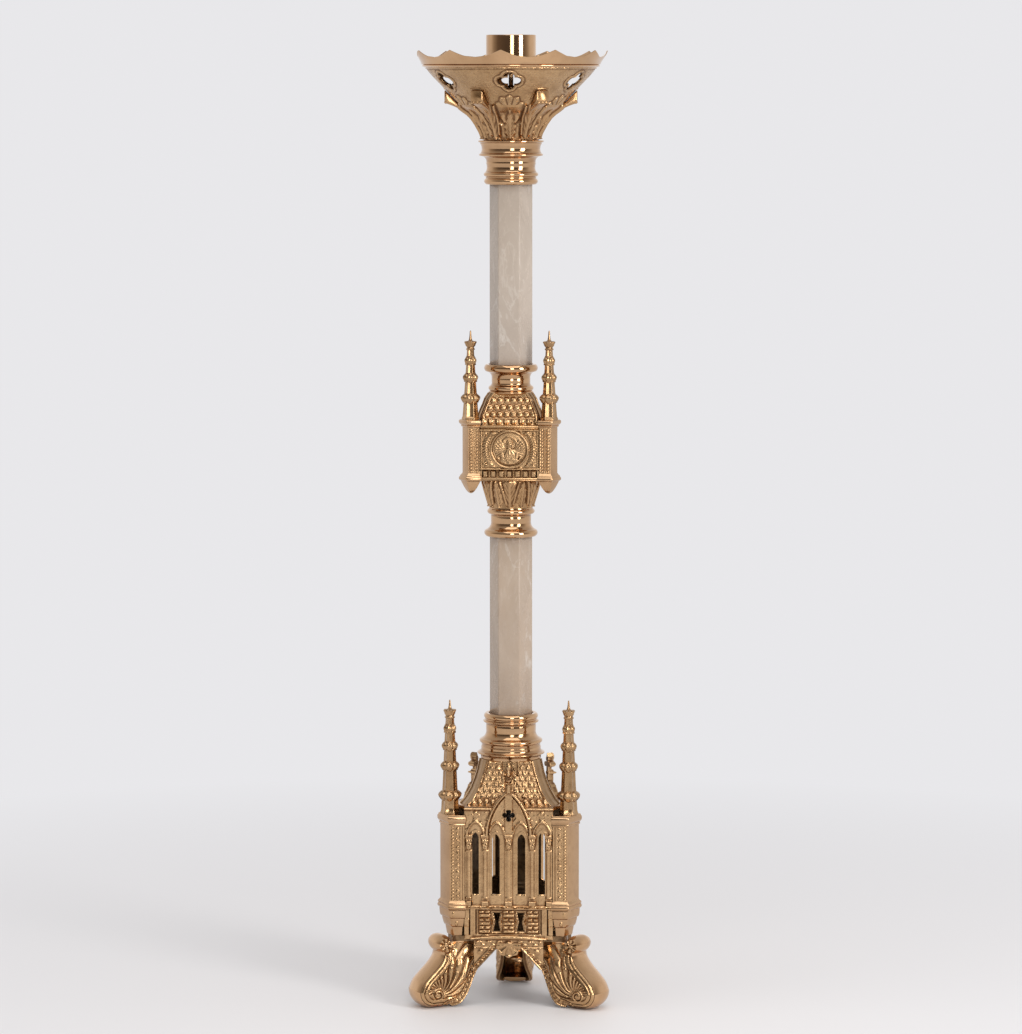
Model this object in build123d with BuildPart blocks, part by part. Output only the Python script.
from build123d import *
import os
from math import cos, sin, radians, sqrt

os.makedirs("parts", exist_ok=True)

# Gothic altar candlestick for one 50.8 mm candle. Millimetres, +Z up.
# Origin: on the candlestick's axis, at the floor. The front side faces -Y.
# Three-fold plan: the angles (degrees from +X) towards the sides and the corners are:
SIDES = {"front": -90, "right": 30, "left": 150}
CORNERS = {"right": -30, "rear": 90, "left": 210}

# ------------------------------------------------------------------ driving dimensions
# Central tie rod, which clamps the stack together
ROD_RADIUS = 6.0
ROD_BORE_RADIUS = 6.5     # clearance bore in the pieces it passes through
ROD_BOTTOM = 55.0
ROD_TOP = 1005.0
WASHER_THICK = 2.0

# Heights of the joints in the stack
TOTAL_HEIGHT = 1063.0     # floor to the socket's mouth
FOOT_TOP = 72.0
PIER_CAP_TOP = 213.0
ROOF_SEAT = 218.0         # top of the panels' upper ledges
ROOF_TOP = 270.0
COLLAR_TOP = 320.0
KNOP_BOTTOM = 516.0       # lower end of the knop's lower collar
CUP_BOTTOM = 548.0
KNOP_FLOOR = 579.0
KNOP_WALL_TOP = 636.0
DOME_TOP = 674.0
KNOP_TOP = 705.0          # upper end of the knop's upper collar
CAPITAL_BOTTOM = 901.0
BELL_BOTTOM = 949.0
BOWL_BOTTOM = 988.0
BOWL_FLOOR_TOP = 991.0
BOWL_RIM = 1031.0

# Base plate
PLATE_THICK = 6.0
PLATE_TOP = FOOT_TOP + PLATE_THICK
PANEL_INNER = 45.0        # inner plane of a tracery panel, from the axis
LEDGE_THICK = 5.0         # panel ledge on the base plate

# Knop box
KNOP_PLATE_THICK = 4.0
KNOP_PLATE_TOP = KNOP_FLOOR + KNOP_PLATE_THICK
DOME_BOTTOM = KNOP_WALL_TOP + KNOP_PLATE_THICK
KNOP_CAP_TOP = 646.0

# Piers: distance of the outer face, half its width, distance of the back plane
BASE_PIER = (81.5, 11.6, 67.0)
KNOP_PIER = (56.0, 6.75, 45.0)
PINNACLE_DIST = 75.2      # axis of a base pinnacle, from the candlestick's axis
KNOP_PINNACLE_DIST = 49.5

# Recesses for the ends of the stone shafts
SEAT_RADIUS = 24.6
SEAT_DEPTH = 2.0

BOWL_TURN = 1.5           # the bowl and capital sit turned a little from the base

# Screw places: (outward, sideways) in the frame of a corner or side
FOOT_SCREW = (50, 0)
CORNER_BOLT = (71, 0)
PANEL_SCREWS = [(40, -20), (40, 20)]
KNOP_SCREW = (41, 0)
FOOT_HOLE_RADIUS = 3.05   # foot screws and corner bolts
PANEL_HOLE_RADIUS = 2.05
KNOP_HOLE_RADIUS = 1.55

ROOT3 = sqrt(3.0)


# ------------------------------------------------------------------ planes
def direction(angle):
    return (cos(radians(angle)), sin(radians(angle)))


def level(z):
    """Horizontal plane at height z."""
    return Plane.XY.offset(z)


def level_toward(angle, z):
    """Horizontal plane at height z; local x runs outward at the angle."""
    c, s = direction(angle)
    return Plane(origin=(0, 0, z), x_dir=(c, s, 0), z_dir=(0, 0, 1))


def upright(angle, start=0.0):
    """Vertical plane through the axis; local x outward from radius start, local y up."""
    c, s = direction(angle)
    return Plane(origin=(start * c, start * s, 0), x_dir=(c, s, 0), z_dir=(s, -c, 0))


def side_face(angle, distance):
    """Vertical plane facing outward; local x to the right seen from outside, local y up."""
    c, s = direction(angle)
    return Plane(origin=(distance * c, distance * s, 0), x_dir=(-s, c, 0), z_dir=(c, s, 0))


# ------------------------------------------------------------------ outlines
def cut_triangle(side_dist, corner_dist):
    """Six plan points of a triangle with cut corners, from its distances to the axis."""
    half_cut = (side_dist - 0.5 * corner_dist) / (ROOT3 / 2)
    points = []
    for angle in CORNERS.values():
        c, s = direction(angle)
        for t in (-half_cut, half_cut):
            points.append((corner_dist * c - t * s, corner_dist * s + t * c))
    return points


def pier_plan(outer, half_width, back, grow):
    """Half-hexagon plan (outward, sideways) of a pier, its outer faces moved out by grow."""
    front = outer + grow
    half_front = half_width + grow / ROOT3
    half_back = half_front + (front - back) / ROOT3
    return [(back, -half_back), (front, -half_front), (front, half_front), (back, half_back)]


def outline(points):
    """Face of a closed outline, in the sketch being built."""
    Polygon(*points, align=None)


# ------------------------------------------------------------------ whole pieces
def save(part, name):
    part.label = name
    export_step(part, f"parts/{name}.step")


def save_turned(name, profile):
    """Piece turned about the axis from a profile of (radius, z)."""
    with BuildPart() as turned:
        with BuildSketch(Plane.XZ):
            outline(profile)
        revolve(axis=Axis.Z)
    save(turned.part, name)


def save_ring(name, z, thickness, radius, bore):
    """Flat ring; bore is a radius."""
    with BuildPart() as ring:
        with BuildSketch(level(z)):
            Circle(radius)
            Circle(bore, mode=Mode.SUBTRACT)
        extrude(amount=thickness)
    save(ring.part, name)


def save_screws(name, angles, places, shank, head, hex_head=False):
    """Set of upright screws; shank and head are each (radius, lower end, length).

    The radius of a hexagonal head is that of its inscribed circle.
    """
    shank_radius, shank_z, shank_length = shank
    head_radius, head_z, head_height = head
    with BuildPart() as screws:
        for angle in angles:
            with BuildSketch(level_toward(angle, shank_z)):
                with Locations(*places):
                    Circle(shank_radius)
            extrude(amount=shank_length)
            with BuildSketch(level_toward(angle, head_z)):
                with Locations(*places):
                    if hex_head:
                        RegularPolygon(head_radius, 6, major_radius=False)
                    else:
                        Circle(head_radius)
            extrude(amount=head_height)
    save(screws.part, name)


def save_pinnacles(name, distance, stages, beads, bead_form, finial, peg):
    """Tapering hexagonal pinnacle with turned beads, finial and peg, for each corner.

    stages: (z, radius) of the spire.  beads: (z, radius) of each bead.
    bead_form: height below z and above z, radius lost at the lower and upper edge.
    finial: (radius, z) outline.  peg: (radius, lower end, length).
    """
    below, above, inset_below, inset_above = bead_form
    peg_radius, peg_z, peg_length = peg
    for tag, angle in CORNERS.items():
        c, s = direction(angle)
        with BuildPart() as pinnacle:
            for z, radius in stages:
                with BuildSketch(level_toward(angle, z)):
                    with Locations((distance, 0)):
                        RegularPolygon(radius, 6, rotation=30)
            loft(ruled=True)
            with BuildSketch(upright(angle, distance)):
                for z, radius in beads:
                    outline([(0, z - below), (radius - inset_below, z - below), (radius, z - 1),
                             (radius, z + 1), (radius - inset_above, z + above), (0, z + above)])
                outline(finial)
            revolve(axis=Axis((distance * c, distance * s, 0), (0, 0, 1)))
            with BuildSketch(level_toward(angle, peg_z)):
                with Locations((distance, 0)):
                    Circle(peg_radius)
            extrude(amount=peg_length)
        save(pinnacle.part, f"{name}_{tag}")


# ------------------------------------------------------------------ scroll feet
FOOT_THICK = 28.0
POCKET_WIDTH = 21.0
POCKET_TOP = 57.0
BELLY_REACH = 20.0        # how far the flanks swell out from the foot's middle plane
BELLY_CENTRE = (86, 23)
# Outline of the swelling where it leaves the foot: (outward, z)
BELLY = [(72, 6), (86, 2), (103, 3), (115, 10), (118, 20), (111, 32), (100, 44), (92, 52),
         (82, 51), (68, 40), (59, 22)]
POCKET = [(20, POCKET_TOP), (40, POCKET_TOP), (86, POCKET_TOP), (96, 45), (106, 36), (114, 28),
          (117, 20), (112, 9), (103, 4), (84, 4), (74, -5), (20, -5)]


def belly_outline(scale):
    """The belly outline, scaled about its centre."""
    centre_x, centre_z = BELLY_CENTRE
    return [(centre_x + scale * (x - centre_x), centre_z + scale * (z - centre_z))
            for x, z in BELLY]


for tag, angle in CORNERS.items():
    with BuildPart() as foot:
        with BuildSketch(upright(angle)):
            with BuildLine():
                Line((30, FOOT_TOP), (78.2, FOOT_TOP))
                ThreePointArc((78.2, FOOT_TOP), (88, 80), (98, 70))
                ThreePointArc((98, 70), (96.3, 64.4), (92, 60.8))
                Spline((92, 60.8), (93.5, 55.5), (100, 47.5), (108.5, 39.5), (117, 30.5), (122, 20))
                ThreePointArc((122, 20), (117, 6.3), (103, 0))
                Line((103, 0), (84, 0))
                Spline((84, 0), (72, 4), (61, 16), (53, 30), (45, 44), (30, 62))
                Line((30, 62), (30, FOOT_TOP))
            make_face()
        extrude(amount=FOOT_THICK / 2, both=True)
        # swelling flanks, smaller at their outer face
        for side in (-1, 1):
            for reach, scale in ((FOOT_THICK / 2 - 0.5, 1.0), (BELLY_REACH, 0.6)):
                with BuildSketch(upright(angle).offset(side * reach)):
                    outline(belly_outline(scale))
            loft(ruled=True)
        # pocket, open towards the axis
        with BuildSketch(upright(angle)):
            outline(POCKET)
        extrude(amount=POCKET_WIDTH / 2, both=True, mode=Mode.SUBTRACT)
        # holes for the foot screw and the corner bolt
        with BuildSketch(level_toward(angle, 50)):
            with Locations(FOOT_SCREW, CORNER_BOLT):
                Circle(FOOT_HOLE_RADIUS)
        extrude(amount=30, mode=Mode.SUBTRACT)
    save(foot.part, f"foot_{tag}")

# ------------------------------------------------------------------ base plate
with BuildPart() as base_plate:
    with BuildSketch(level(FOOT_TOP)):
        outline(cut_triangle(44.8, 73.0))
        Circle(ROD_BORE_RADIUS, mode=Mode.SUBTRACT)
    extrude(amount=PLATE_THICK)
    for angle in CORNERS.values():
        with BuildSketch(level_toward(angle, FOOT_TOP)):
            with Locations(FOOT_SCREW, CORNER_BOLT):
                Circle(FOOT_HOLE_RADIUS)
        extrude(amount=PLATE_THICK, mode=Mode.SUBTRACT)
    for angle in SIDES.values():
        with BuildSketch(level_toward(angle, FOOT_TOP)):
            with Locations(*PANEL_SCREWS):
                Circle(PANEL_HOLE_RADIUS)
        extrude(amount=PLATE_THICK, mode=Mode.SUBTRACT)
save(base_plate.part, "base_plate")

# ------------------------------------------------------------------ tracery panels
PANEL_THICK = 4.5
BAY_THICK = 2.4           # wall left round the lancets
PANEL_TOP = 222.0         # shoulders on either side of the gable
PANEL_HALF = 48.6
RELIEF_START = PANEL_INNER + PANEL_THICK - 0.5   # relief is sunk 0.5 into the panel
# Right half of the outer outline, from the foot up to the gable's cross: (x, z)
PANEL_EDGE = [(38, 42), (38, 75), (PANEL_HALF, 75), (PANEL_HALF, PANEL_TOP), (18, PANEL_TOP),
              (12, 230), (6.5, 236), (2.5, 240), (2.5, 251), (6.5, 256), (6.5, 263), (2.2, 267)]
# Right half of the arch in the lower edge, from the springing inward: (x, z)
ARCH_EDGE = [(34, 42), (12, 66), (9.5, 61), (5.5, 56.5)]
LANCET_SILL = 125.5
# Lancets: centre x, half width, height of the springing
LANCETS = [(-36.4, 3.6, 188.0), (-14.0, 4.25, 185.0), (14.0, 4.25, 185.0), (36.4, 3.6, 188.0)]
GABLE_FOIL_Z = 213.3
FOIL_RADIUS = 3.3         # radius of the quatrefoil's lobes and their distance from its centre
WAIST_Z = 94.5            # middle of the waisted openings
WAIST_HALF_HEIGHT = 10.5
COLONNETTES_X = (-43.6, -25.8, 0.0, 25.8, 43.6)
# Shaft, capital and base of a colonnette: middle z, width, height
COLONNETTE = [(150.0, 4.4, 60), (182.0, 7.4, 17), (117.5, 7.0, 10)]
# String course and plinth ledge: middle z, width, height
COURSES = [(111.7, 90, 2.6), (77.5, 84, 4.6)]

for tag, angle in SIDES.items():
    with BuildPart() as tracery_panel:
        with BuildSketch(side_face(angle, PANEL_INNER)):
            outline(PANEL_EDGE + [(0, 272)] + [(-x, z) for x, z in reversed(PANEL_EDGE)]
                    + [(-x, z) for x, z in ARCH_EDGE] + [(0, 54.5)] + ARCH_EDGE[::-1])
            for x, half, spring in LANCETS:
                apex = spring + 1.73 * half
                with BuildLine():
                    Line((x - half, LANCET_SILL), (x + half, LANCET_SILL))
                    Line((x + half, LANCET_SILL), (x + half, spring))
                    RadiusArc((x + half, spring), (x, apex), -2 * half)
                    RadiusArc((x, apex), (x - half, spring), -2 * half)
                    Line((x - half, spring), (x - half, LANCET_SILL))
                make_face(mode=Mode.SUBTRACT)
            # quatrefoil in the gable
            with Locations((FOIL_RADIUS, GABLE_FOIL_Z), (-FOIL_RADIUS, GABLE_FOIL_Z),
                           (0, GABLE_FOIL_Z + FOIL_RADIUS), (0, GABLE_FOIL_Z - FOIL_RADIUS)):
                Circle(FOIL_RADIUS, mode=Mode.SUBTRACT)
            # two waisted openings in the plinth
            for x in (-13.0, 13.0):
                top = WAIST_Z + WAIST_HALF_HEIGHT
                bottom = WAIST_Z - WAIST_HALF_HEIGHT
                with BuildLine():
                    Polyline((x - 4, top), (x + 4, top), (x + 1.8, WAIST_Z), (x + 4, bottom),
                             (x - 4, bottom), (x - 1.8, WAIST_Z), close=True)
                make_face(mode=Mode.SUBTRACT)
        extrude(amount=PANEL_THICK)
        # the wall is thinned from the inside round the lancets
        with BuildSketch(side_face(angle, PANEL_INNER)):
            with Locations((0, 163.0)):
                Rectangle(94, 84)
        extrude(amount=PANEL_THICK - BAY_THICK, mode=Mode.SUBTRACT)
        for x in COLONNETTES_X:
            with BuildSketch(side_face(angle, RELIEF_START)):
                for z, width, height in COLONNETTE:
                    with Locations((x, z)):
                        Rectangle(width, height)
            extrude(amount=2.6)
        with BuildSketch(side_face(angle, RELIEF_START)):
            for z, width, height in COURSES:
                with Locations((0, z)):
                    Rectangle(width, height)
        extrude(amount=3.4)
        # inner ledges: the lower one is screwed to the base plate, the upper ones carry the roof
        with BuildSketch(level_toward(angle, PLATE_TOP)):
            with Locations((PANEL_INNER - 4.2, 0)):
                Rectangle(8.6, 60)
            with Locations(*PANEL_SCREWS):
                Circle(PANEL_HOLE_RADIUS, mode=Mode.SUBTRACT)
        extrude(amount=LEDGE_THICK)
        with BuildSketch(level_toward(angle, ROOF_SEAT - 4)):
            with Locations((PANEL_INNER - 3.2, -21.5), (PANEL_INNER - 3.2, 21.5)):
                Rectangle(6.6, 17)
        extrude(amount=4)
    save(tracery_panel.part, f"tracery_panel_{tag}")

# ------------------------------------------------------------------ corner piers
# Base, shaft and cap of a pier: lower end, upper end, growth of the plan
PIER_STAGES = [(98, 108, 0.4), (108, 116, 2.8), (116, 118, 1.2), (118, 201, 0),
               (201, 204, 1.2), (204, PIER_CAP_TOP, 2.8)]
# Corbel under the pier: z, growth of the plan
CORBEL = [(PLATE_TOP, -6.5), (90, -4.6), (98, 0.4)]
PEG_HOLE_DEPTH = 6.5

for tag, angle in CORNERS.items():
    with BuildPart() as corner_pier:
        for bottom, top, grow in PIER_STAGES:
            with BuildSketch(level_toward(angle, bottom)):
                outline(pier_plan(*BASE_PIER, grow))
            extrude(amount=top - bottom)
        for z, grow in CORBEL:
            with BuildSketch(level_toward(angle, z)):
                outline(pier_plan(*BASE_PIER, grow))
        loft(ruled=True)
        # hollow back
        outer, half_width, back = BASE_PIER
        with BuildSketch(level_toward(angle, 108)):
            outline(pier_plan(outer - 3.2, half_width - 3.0, back - 1, 0))
        extrude(amount=96, mode=Mode.SUBTRACT)
        # bolt hole from below
        with BuildSketch(level_toward(angle, PLATE_TOP)):
            with Locations(CORNER_BOLT):
                Circle(FOOT_HOLE_RADIUS)
        extrude(amount=22, mode=Mode.SUBTRACT)
        # hole for the pinnacle's peg
        with BuildSketch(level_toward(angle, PIER_CAP_TOP - PEG_HOLE_DEPTH)):
            with Locations((PINNACLE_DIST, 0)):
                Circle(2.55)
        extrude(amount=PEG_HOLE_DEPTH, mode=Mode.SUBTRACT)
    save(corner_pier.part, f"corner_pier_{tag}")

# ------------------------------------------------------------------ base pinnacles
save_pinnacles(
    "base_pinnacle", PINNACLE_DIST,
    stages=[(PIER_CAP_TOP, 10.3), (224, 9.6), (246, 8.2), (276, 6.9), (298, 5.8), (320, 4.6)],
    beads=[(234.0, 13.1), (266.3, 10.6), (288.3, 9.0), (307.4, 7.0)],
    bead_form=(5, 4, 3, 3.2),
    finial=[(0, 318), (4, 318), (6.9, 325), (6.9, 328), (2.2, 330), (1.3, 335), (0, 339)],
    peg=(2.5, PIER_CAP_TOP - 6, 8))

# ------------------------------------------------------------------ base roof
# Sections: z, distance of the sides, distance of the cut corners
ROOF_OUTSIDE = [(222, 36.5, 58.0), (227.5, 33.6, 52.2), (232, 32.0, 49.0), (238, 29.7, 45.2),
                (247, 27.1, 41.2), (257, 25.4, 37.5), (ROOF_TOP, 24.2, 34.0)]
ROOF_INSIDE = [(ROOF_SEAT, 32.5, 52.0), (232, 28.5, 44.0), (264, 20.5, 29.5)]

with BuildPart() as base_roof:
    for z, side_dist, corner_dist in ROOF_OUTSIDE:
        with BuildSketch(level(z)):
            outline(cut_triangle(side_dist, corner_dist))
    loft(ruled=True)
    # flange resting on the panels' ledges
    with BuildSketch(level(ROOF_SEAT)):
        outline(cut_triangle(PANEL_INNER - 0.1, 64.4))
    extrude(amount=4)
    for z, side_dist, corner_dist in ROOF_INSIDE:
        with BuildSketch(level(z)):
            outline(cut_triangle(side_dist, corner_dist))
    loft(ruled=True, mode=Mode.SUBTRACT)
    with BuildSketch(level(ROOF_SEAT)):
        Circle(ROD_BORE_RADIUS)
    extrude(amount=60, mode=Mode.SUBTRACT)
save(base_roof.part, "base_roof")

# ------------------------------------------------------------------ base collar
save_turned("base_collar", [
    (24, ROOF_TOP), (35.6, ROOF_TOP), (36.9, 272), (36.9, 276), (35.2, 279), (35.2, 281.5),
    (33, 284.5), (33, 286.5), (34.7, 288), (34.7, 290), (33, 293.5), (29.6, 298),
    (27.8, 303), (27.8, 307), (30.3, 310), (30.3, 312), (29, 313.5), (29.7, 315),
    (29.7, COLLAR_TOP), (SEAT_RADIUS, COLLAR_TOP), (SEAT_RADIUS, COLLAR_TOP - SEAT_DEPTH),
    (ROD_BORE_RADIUS, COLLAR_TOP - SEAT_DEPTH), (ROD_BORE_RADIUS, 310), (21, 310), (24, 290)])

# ------------------------------------------------------------------ stone shafts
SHAFT_RADIUS = 23.75      # to the corners of the hexagon
SHAFT_TURN = -3.0         # the shafts sit turned a little from the sides
SHAFT_BORE_RADIUS = 8.0
LEATHER_THICK = 1.5

# Each shaft stands between two recesses, with a leather washer at either end
for name, collar_below, collar_above in (("lower_shaft", COLLAR_TOP, KNOP_BOTTOM),
                                         ("upper_shaft", KNOP_TOP, CAPITAL_BOTTOM)):
    bottom = collar_below - SEAT_DEPTH + LEATHER_THICK
    top = collar_above + SEAT_DEPTH - LEATHER_THICK
    with BuildPart() as shaft:
        with BuildSketch(level(bottom)):
            RegularPolygon(SHAFT_RADIUS, 6, rotation=SHAFT_TURN)
            Circle(SHAFT_BORE_RADIUS, mode=Mode.SUBTRACT)
        extrude(amount=top - bottom)
    save(shaft.part, name)
    for end, z in (("bottom", bottom - LEATHER_THICK), ("top", top)):
        save_ring(f"{name}_{end}_washer", z, LEATHER_THICK,
                  radius=SEAT_RADIUS - 0.3, bore=SHAFT_BORE_RADIUS)

# ------------------------------------------------------------------ knop lower collar and cup
save_turned("knop_lower_collar", [
    (SEAT_RADIUS, KNOP_BOTTOM), (29.7, KNOP_BOTTOM), (29.7, 522), (27, 526), (24, 530),
    (22.6, 535.5), (22.6, 538), (25.9, 541.5), (25.9, 546), (24.8, CUP_BOTTOM),
    (16, CUP_BOTTOM), (16, 526), (ROD_BORE_RADIUS, 526),
    (ROD_BORE_RADIUS, KNOP_BOTTOM + SEAT_DEPTH), (SEAT_RADIUS, KNOP_BOTTOM + SEAT_DEPTH)])

save_turned("knop_cup", [
    (ROD_BORE_RADIUS, CUP_BOTTOM), (24.6, CUP_BOTTOM), (25.5, 550.5), (27.5, 554), (29.9, 560),
    (32, 568), (33, 574), (33, KNOP_FLOOR), (28.5, KNOP_FLOOR), (27, 566), (22, 554),
    (ROD_BORE_RADIUS, 554)])

# ------------------------------------------------------------------ knop floor and top plate
KNOP_PLATE_SIDE = 33.0    # distance of the floor's sides from the axis
KNOP_PLATE_CORNER = 44.9  # distance of both plates' cut corners

with BuildPart() as knop_floor:
    with BuildSketch(level(KNOP_FLOOR)):
        outline(cut_triangle(KNOP_PLATE_SIDE, KNOP_PLATE_CORNER))
        Circle(ROD_BORE_RADIUS, mode=Mode.SUBTRACT)
    extrude(amount=KNOP_PLATE_THICK)
    for angle in CORNERS.values():
        with BuildSketch(level_toward(angle, KNOP_FLOOR)):
            with Locations(KNOP_SCREW):
                Circle(KNOP_HOLE_RADIUS)
        extrude(amount=KNOP_PLATE_THICK, mode=Mode.SUBTRACT)
save(knop_floor.part, "knop_floor")

with BuildPart() as knop_top_plate:
    with BuildSketch(level(KNOP_WALL_TOP)):
        outline(cut_triangle(KNOP_PLATE_SIDE + 0.5, KNOP_PLATE_CORNER))
        Circle(ROD_BORE_RADIUS, mode=Mode.SUBTRACT)
    extrude(amount=KNOP_PLATE_THICK)
save(knop_top_plate.part, "knop_top_plate")

# ------------------------------------------------------------------ knop panels and medallions
KNOP_PANEL_OUTER = 31.5   # outer plane of a panel, from the axis
KNOP_PANEL_THICK = 3.5
KNOP_PANEL_HALF = 33.6
BLOCK_PITCH = 8.8
BLOCK_WIDTH = 5.6
BLOCK_HEIGHT = 7.0
MEDALLION_Z = 614.0
MEDALLION_RADIUS = 21.5

for tag, angle in SIDES.items():
    with BuildPart() as knop_panel:
        with BuildSketch(side_face(angle, KNOP_PANEL_OUTER - KNOP_PANEL_THICK)):
            outline([(-KNOP_PANEL_HALF, KNOP_PLATE_TOP), (KNOP_PANEL_HALF, KNOP_PLATE_TOP),
                     (KNOP_PANEL_HALF, KNOP_WALL_TOP), (-KNOP_PANEL_HALF, KNOP_WALL_TOP)])
            with Locations((0, MEDALLION_Z)):
                Circle(2.05, mode=Mode.SUBTRACT)
        extrude(amount=KNOP_PANEL_THICK)
        # row of small blocks along the foot of the panel
        with BuildSketch(side_face(angle, KNOP_PANEL_OUTER - 0.5)):
            with Locations(*[(k * BLOCK_PITCH, KNOP_PLATE_TOP + BLOCK_HEIGHT / 2)
                             for k in range(-3, 4)]):
                Rectangle(BLOCK_WIDTH, BLOCK_HEIGHT)
        extrude(amount=2)
    save(knop_panel.part, f"knop_panel_{tag}")

    with BuildPart() as medallion:
        with BuildSketch(side_face(angle, KNOP_PANEL_OUTER)):
            with Locations((0, MEDALLION_Z)):
                Circle(MEDALLION_RADIUS)
        extrude(amount=2.2)
        # raised rim
        with BuildSketch(side_face(angle, KNOP_PANEL_OUTER)):
            with Locations((0, MEDALLION_Z)):
                Circle(MEDALLION_RADIUS)
                Circle(MEDALLION_RADIUS - 3, mode=Mode.SUBTRACT)
        extrude(amount=3.6)
        # raised centre
        with BuildSketch(side_face(angle, KNOP_PANEL_OUTER)):
            with Locations((0, MEDALLION_Z)):
                Circle(9)
        extrude(amount=4.0)
        # peg through the panel
        with BuildSketch(side_face(angle, KNOP_PANEL_OUTER - KNOP_PANEL_THICK - 1)):
            with Locations((0, MEDALLION_Z)):
                Circle(2.0)
        extrude(amount=KNOP_PANEL_THICK + 2)
    save(medallion.part, f"medallion_{tag}")

# ------------------------------------------------------------------ knop piers
# Base, shaft and cap of a pier: lower end, upper end, growth of the plan
KNOP_PIER_STAGES = [(KNOP_FLOOR, 585, 3.6), (585, 587, 1.4), (587, 638, 0), (638, 640, 1.6),
                    (640, KNOP_CAP_TOP, 3.6)]
LUG_HEIGHT = 6.0

for tag, angle in CORNERS.items():
    with BuildPart() as knop_pier:
        for bottom, top, grow in KNOP_PIER_STAGES:
            with BuildSketch(level_toward(angle, bottom)):
                outline(pier_plan(*KNOP_PIER, grow))
            extrude(amount=top - bottom)
        # pendant under the pier
        with BuildSketch(level_toward(angle, 565)):
            outline([(48, -1.2), (50.2, -0.9), (50.2, 0.9), (48, 1.2)])
        with BuildSketch(level_toward(angle, KNOP_FLOOR)):
            outline(pier_plan(*KNOP_PIER, 1.6))
        loft(ruled=True)
        # lug on the floor plate, with its screw hole
        with BuildSketch(level_toward(angle, KNOP_PLATE_TOP)):
            with Locations((41.6, 0)):
                Rectangle(7.2, 10)
        extrude(amount=LUG_HEIGHT)
        with BuildSketch(level_toward(angle, KNOP_PLATE_TOP)):
            with Locations(KNOP_SCREW):
                Circle(KNOP_HOLE_RADIUS)
        extrude(amount=LUG_HEIGHT, mode=Mode.SUBTRACT)
        # hole for the pinnacle's peg
        with BuildSketch(level_toward(angle, 640)):
            with Locations((KNOP_PINNACLE_DIST, 0)):
                Circle(2.05)
        extrude(amount=6, mode=Mode.SUBTRACT)
    save(knop_pier.part, f"knop_pier_{tag}")

# ------------------------------------------------------------------ knop pinnacles
save_pinnacles(
    "knop_pinnacle", KNOP_PINNACLE_DIST,
    stages=[(KNOP_CAP_TOP, 9.2), (656, 8.4), (676, 6.9), (700, 5.2), (723, 3.8)],
    beads=[(669.4, 10.9), (691.9, 8.5), (710.3, 6.6)],
    bead_form=(4, 3.2, 2.5, 2.7),
    finial=[(0, 721), (3.4, 721), (6.8, 728.5), (6.8, 731), (2, 733), (1.2, 739), (0, 743)],
    peg=(2.0, 640.5, 7))

# ------------------------------------------------------------------ knop dome and upper collar
# Sections: z, distance of the sides, distance of the cut corners
DOME_OUTSIDE = [(DOME_BOTTOM, 24.5, 38.5), (650, 24.0, 37.5), (656, 22.5, 35.0),
                (662, 20.8, 32.0), (668, 19.5, 29.6), (DOME_TOP, 17.5, 24.5)]
DOME_INSIDE = [(DOME_BOTTOM, 20.5, 32.0), (656, 18.5, 28.5), (669, 14.0, 20.0)]

with BuildPart() as knop_dome:
    for z, side_dist, corner_dist in DOME_OUTSIDE:
        with BuildSketch(level(z)):
            outline(cut_triangle(side_dist, corner_dist))
    loft(ruled=True)
    for z, side_dist, corner_dist in DOME_INSIDE:
        with BuildSketch(level(z)):
            outline(cut_triangle(side_dist, corner_dist))
    loft(ruled=True, mode=Mode.SUBTRACT)
    with BuildSketch(level(DOME_BOTTOM)):
        Circle(ROD_BORE_RADIUS)
    extrude(amount=40, mode=Mode.SUBTRACT)
save(knop_dome.part, "knop_dome")

save_turned("knop_upper_collar", [
    (ROD_BORE_RADIUS, DOME_TOP), (25.5, DOME_TOP), (24.8, 676), (24.8, 680), (22, 683),
    (21.5, 687), (23.5, 691), (27, 695), (29.2, 697.5), (29.2, KNOP_TOP),
    (SEAT_RADIUS, KNOP_TOP), (SEAT_RADIUS, KNOP_TOP - SEAT_DEPTH),
    (ROD_BORE_RADIUS, KNOP_TOP - SEAT_DEPTH)])

# ------------------------------------------------------------------ capital
save_turned("capital_collar", [
    (SEAT_RADIUS, CAPITAL_BOTTOM), (29.7, CAPITAL_BOTTOM), (29.7, 906), (28.7, 907.5),
    (28.7, 910), (29.5, 911.5), (29.5, 915), (27.6, 918), (27.6, 923), (30, 929), (34.7, 934),
    (34.7, 937), (33.5, 939), (33.5, 943), (35.8, 946), (35.8, BELL_BOTTOM), (22, BELL_BOTTOM),
    (22, 930), (20, 912), (ROD_BORE_RADIUS, 912), (ROD_BORE_RADIUS, CAPITAL_BOTTOM + SEAT_DEPTH),
    (SEAT_RADIUS, CAPITAL_BOTTOM + SEAT_DEPTH)])

# Underside of the bowl, from its floor outward: (radius, z)
BOWL_CONE = [(57.0, BOWL_BOTTOM), (62.0, 994), (72.6, 1005), (79.2, 1012), (85.3, 1018),
             (90.8, 1025), (93.0, 1028)]

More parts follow.
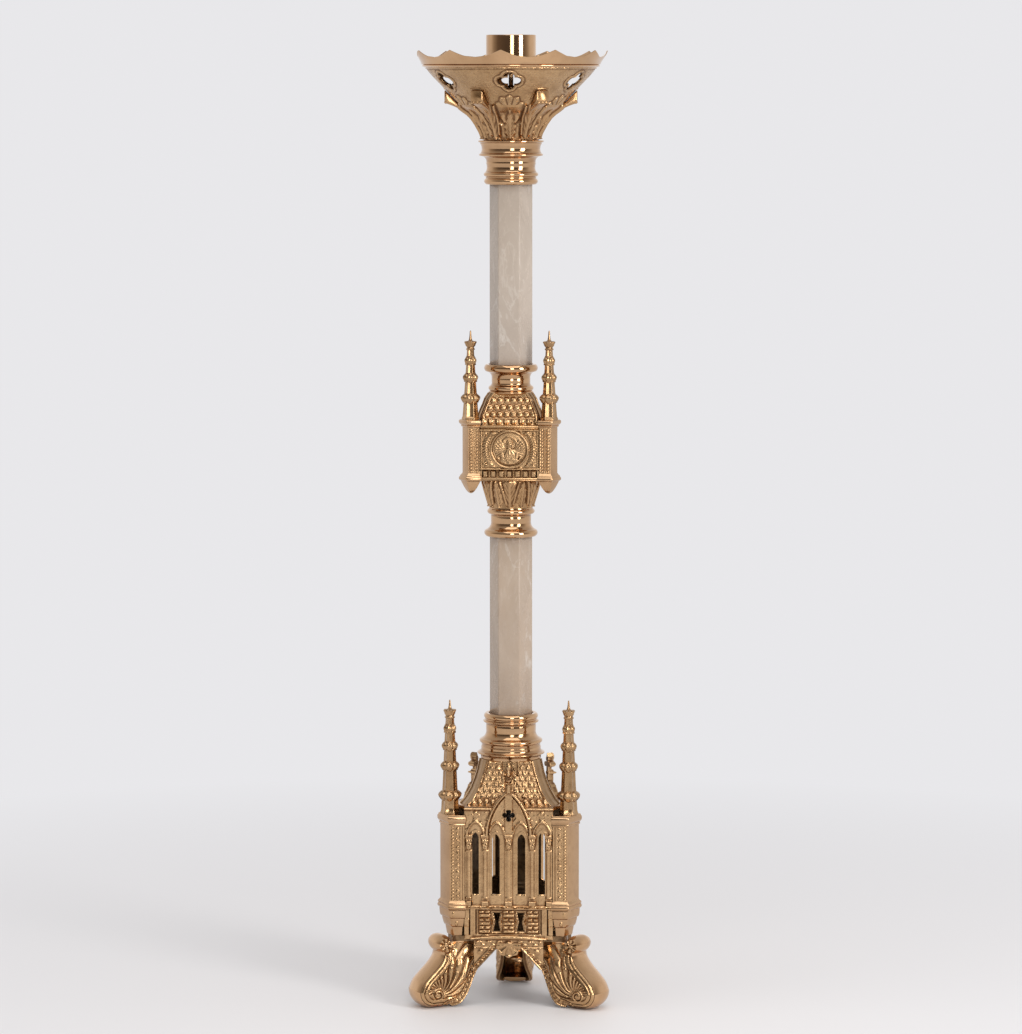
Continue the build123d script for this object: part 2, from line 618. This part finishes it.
with BuildPart() as capital_bell:
    with BuildSketch(Plane.XZ):
        outline([(ROD_BORE_RADIUS, BELL_BOTTOM), (29.6, BELL_BOTTOM), (30, 952), (31.4, 956),
                 (33, 959), (34.7, 962), (38.5, 969), (43.5, 975.5), (47.9, 979), (53.4, 982),
                 (57, 985), (57, BOWL_BOTTOM), (50, BOWL_BOTTOM), (44, 983), (36, 974),
                 (28, 963), (25, 955), (ROD_BORE_RADIUS, 955)])
    revolve(axis=Axis.Z)
    # six square leaf tips under the bowl
    for k in range(6):
        with BuildSketch(level_toward(60 * k + BOWL_TURN, 985)):
            with Locations((62, 0)):
                Rectangle(20, 17)
        extrude(amount=22)
    # room for the bowl, with 0.1 clearance
    with BuildSketch(Plane.XZ):
        outline([(0, BOWL_BOTTOM)] + [(r + 0.1, z) for r, z in BOWL_CONE] + [(0, 1028)])
    revolve(axis=Axis.Z, mode=Mode.SUBTRACT)
save(capital_bell.part, "capital_bell")

# ------------------------------------------------------------------ bowl
RIM_RADIUS = 97.0
PIERCING_DIST = 79.8      # centre of a piercing: distance from the axis, and height
PIERCING_Z = 1012.6

with BuildPart() as bowl:
    with BuildSketch(Plane.XZ):
        outline([(ROD_BORE_RADIUS, BOWL_BOTTOM)] + BOWL_CONE
                + [(94.5, 1028.3), (RIM_RADIUS, 1029), (RIM_RADIUS, BOWL_RIM), (91.5, BOWL_RIM),
                   (88.6, 1026.6), (82.9, 1019.4), (76.9, 1013.6), (70.2, 1006.6), (59.5, 996),
                   (55, BOWL_FLOOR_TOP), (ROD_BORE_RADIUS, BOWL_FLOOR_TOP)])
    revolve(axis=Axis.Z)
    # six quatrefoil piercings, square to the slope of the bowl
    for k in range(6):
        c, s = direction(-90 + 60 * k + BOWL_TURN)
        slope = Plane(origin=(PIERCING_DIST * c, PIERCING_DIST * s, PIERCING_Z),
                      x_dir=(-s, c, 0), z_dir=(c * 0.707, s * 0.707, -0.707))
        with BuildSketch(slope):
            with Locations((6.2, 0), (-6.2, 0), (0, 7.0), (0, -7.0)):
                Circle(6.1)
            Rectangle(9, 9)
        extrude(amount=8, both=True, mode=Mode.SUBTRACT)
save(bowl.part, "bowl")

# ------------------------------------------------------------------ wax pan
PAN_HOLE_RADIUS = 27.6
PAN_RADIUS = 105.8
PAN_TOP = 1046.0
CROWN_POINTS = 11
SCALLOP_RADIUS = 62
SCALLOP_LOW = 1038.3      # lowest point of a scallop

with BuildPart() as wax_pan:
    with BuildSketch(Plane.XZ):
        outline([(PAN_HOLE_RADIUS, 1026.5), (85.5, 1026.5), (89.5, BOWL_RIM), (97.4, BOWL_RIM),
                 (98.7, 1033.5), (101.1, 1037), (104, 1041.5), (PAN_RADIUS, PAN_TOP),
                 (104.4, PAN_TOP), (102.6, 1042), (99.7, 1037.6), (97.4, 1034.6),
                 (95.8, 1032.6), (88.9, 1032.6), (84.9, 1028.1), (29.2, 1028.1),
                 (29.2, 1031.5), (PAN_HOLE_RADIUS, 1031.5)])
    revolve(axis=Axis.Z)
    # scallops between the crown's points
    for k in range(CROWN_POINTS):
        middle = -93 + (k + 0.5) * 360 / CROWN_POINTS
        with BuildSketch(side_face(middle, 80)):
            with Locations((0, SCALLOP_LOW + SCALLOP_RADIUS)):
                Circle(SCALLOP_RADIUS)
        extrude(amount=30, mode=Mode.SUBTRACT)
save(wax_pan.part, "wax_pan")

# ------------------------------------------------------------------ candle socket
SOCKET_RADIUS = 27.25
SOCKET_BORE_RADIUS = 25.7
SOCKET_BOTTOM = 1023.0    # underside of the cup
SOCKET_FLOOR = 1026.0
STEM_RADIUS = 2.5         # slim stem under the cup, standing on the tie rod's end

save_turned("candle_socket", [
    (0, ROD_TOP), (6.5, ROD_TOP), (6.5, ROD_TOP + 1.5), (STEM_RADIUS, ROD_TOP + 2.5),
    (STEM_RADIUS, SOCKET_BOTTOM - 2), (6, SOCKET_BOTTOM), (SOCKET_RADIUS, SOCKET_BOTTOM),
    (SOCKET_RADIUS, TOTAL_HEIGHT - 0.5), (SOCKET_RADIUS - 0.5, TOTAL_HEIGHT),
    (SOCKET_BORE_RADIUS, TOTAL_HEIGHT), (SOCKET_BORE_RADIUS, SOCKET_FLOOR), (0, SOCKET_FLOOR)])

# ------------------------------------------------------------------ tie rod, nuts and washers
with BuildPart() as tie_rod:
    with BuildSketch(level(ROD_BOTTOM)):
        Circle(ROD_RADIUS)
    extrude(amount=ROD_TOP - ROD_BOTTOM)
    chamfer(tie_rod.edges().filter_by(GeomType.CIRCLE), 1.0)
save(tie_rod.part, "tie_rod")

BOTTOM_NUT_HEIGHT = 10.0
BOTTOM_WASHER_Z = FOOT_TOP - WASHER_THICK
for name, z, height in (("bottom_nut", BOTTOM_WASHER_Z - BOTTOM_NUT_HEIGHT, BOTTOM_NUT_HEIGHT),
                        ("top_nut", BOWL_FLOOR_TOP + WASHER_THICK, 9.0)):
    with BuildPart() as nut:
        with BuildSketch(level(z)):
            RegularPolygon(9.5, 6, major_radius=False)
            Circle(ROD_RADIUS + 0.02, mode=Mode.SUBTRACT)
        extrude(amount=height)
    save(nut.part, name)

for name, z in (("bottom_washer", BOTTOM_WASHER_Z), ("top_washer", BOWL_FLOOR_TOP)):
    save_ring(name, z, WASHER_THICK, radius=12.0, bore=ROD_RADIUS + 0.3)

# ------------------------------------------------------------------ screws
save_screws("corner_bolts", CORNERS.values(), [CORNER_BOLT],
            shank=(3.0, POCKET_TOP, 42), head=(5.0, POCKET_TOP - 5, 5), hex_head=True)
save_screws("foot_screws", CORNERS.values(), [FOOT_SCREW],
            shank=(3.0, 61, PLATE_TOP - 61), head=(5.0, PLATE_TOP, 4), hex_head=True)
save_screws("panel_screws", SIDES.values(), PANEL_SCREWS,
            shank=(2.0, 73, 10), head=(3.4, PLATE_TOP + LEDGE_THICK, 2.6))
save_screws("knop_pier_screws", CORNERS.values(), [KNOP_SCREW],
            shank=(1.5, KNOP_FLOOR, 8.5), head=(2.8, KNOP_FLOOR - 2.4, 2.4))
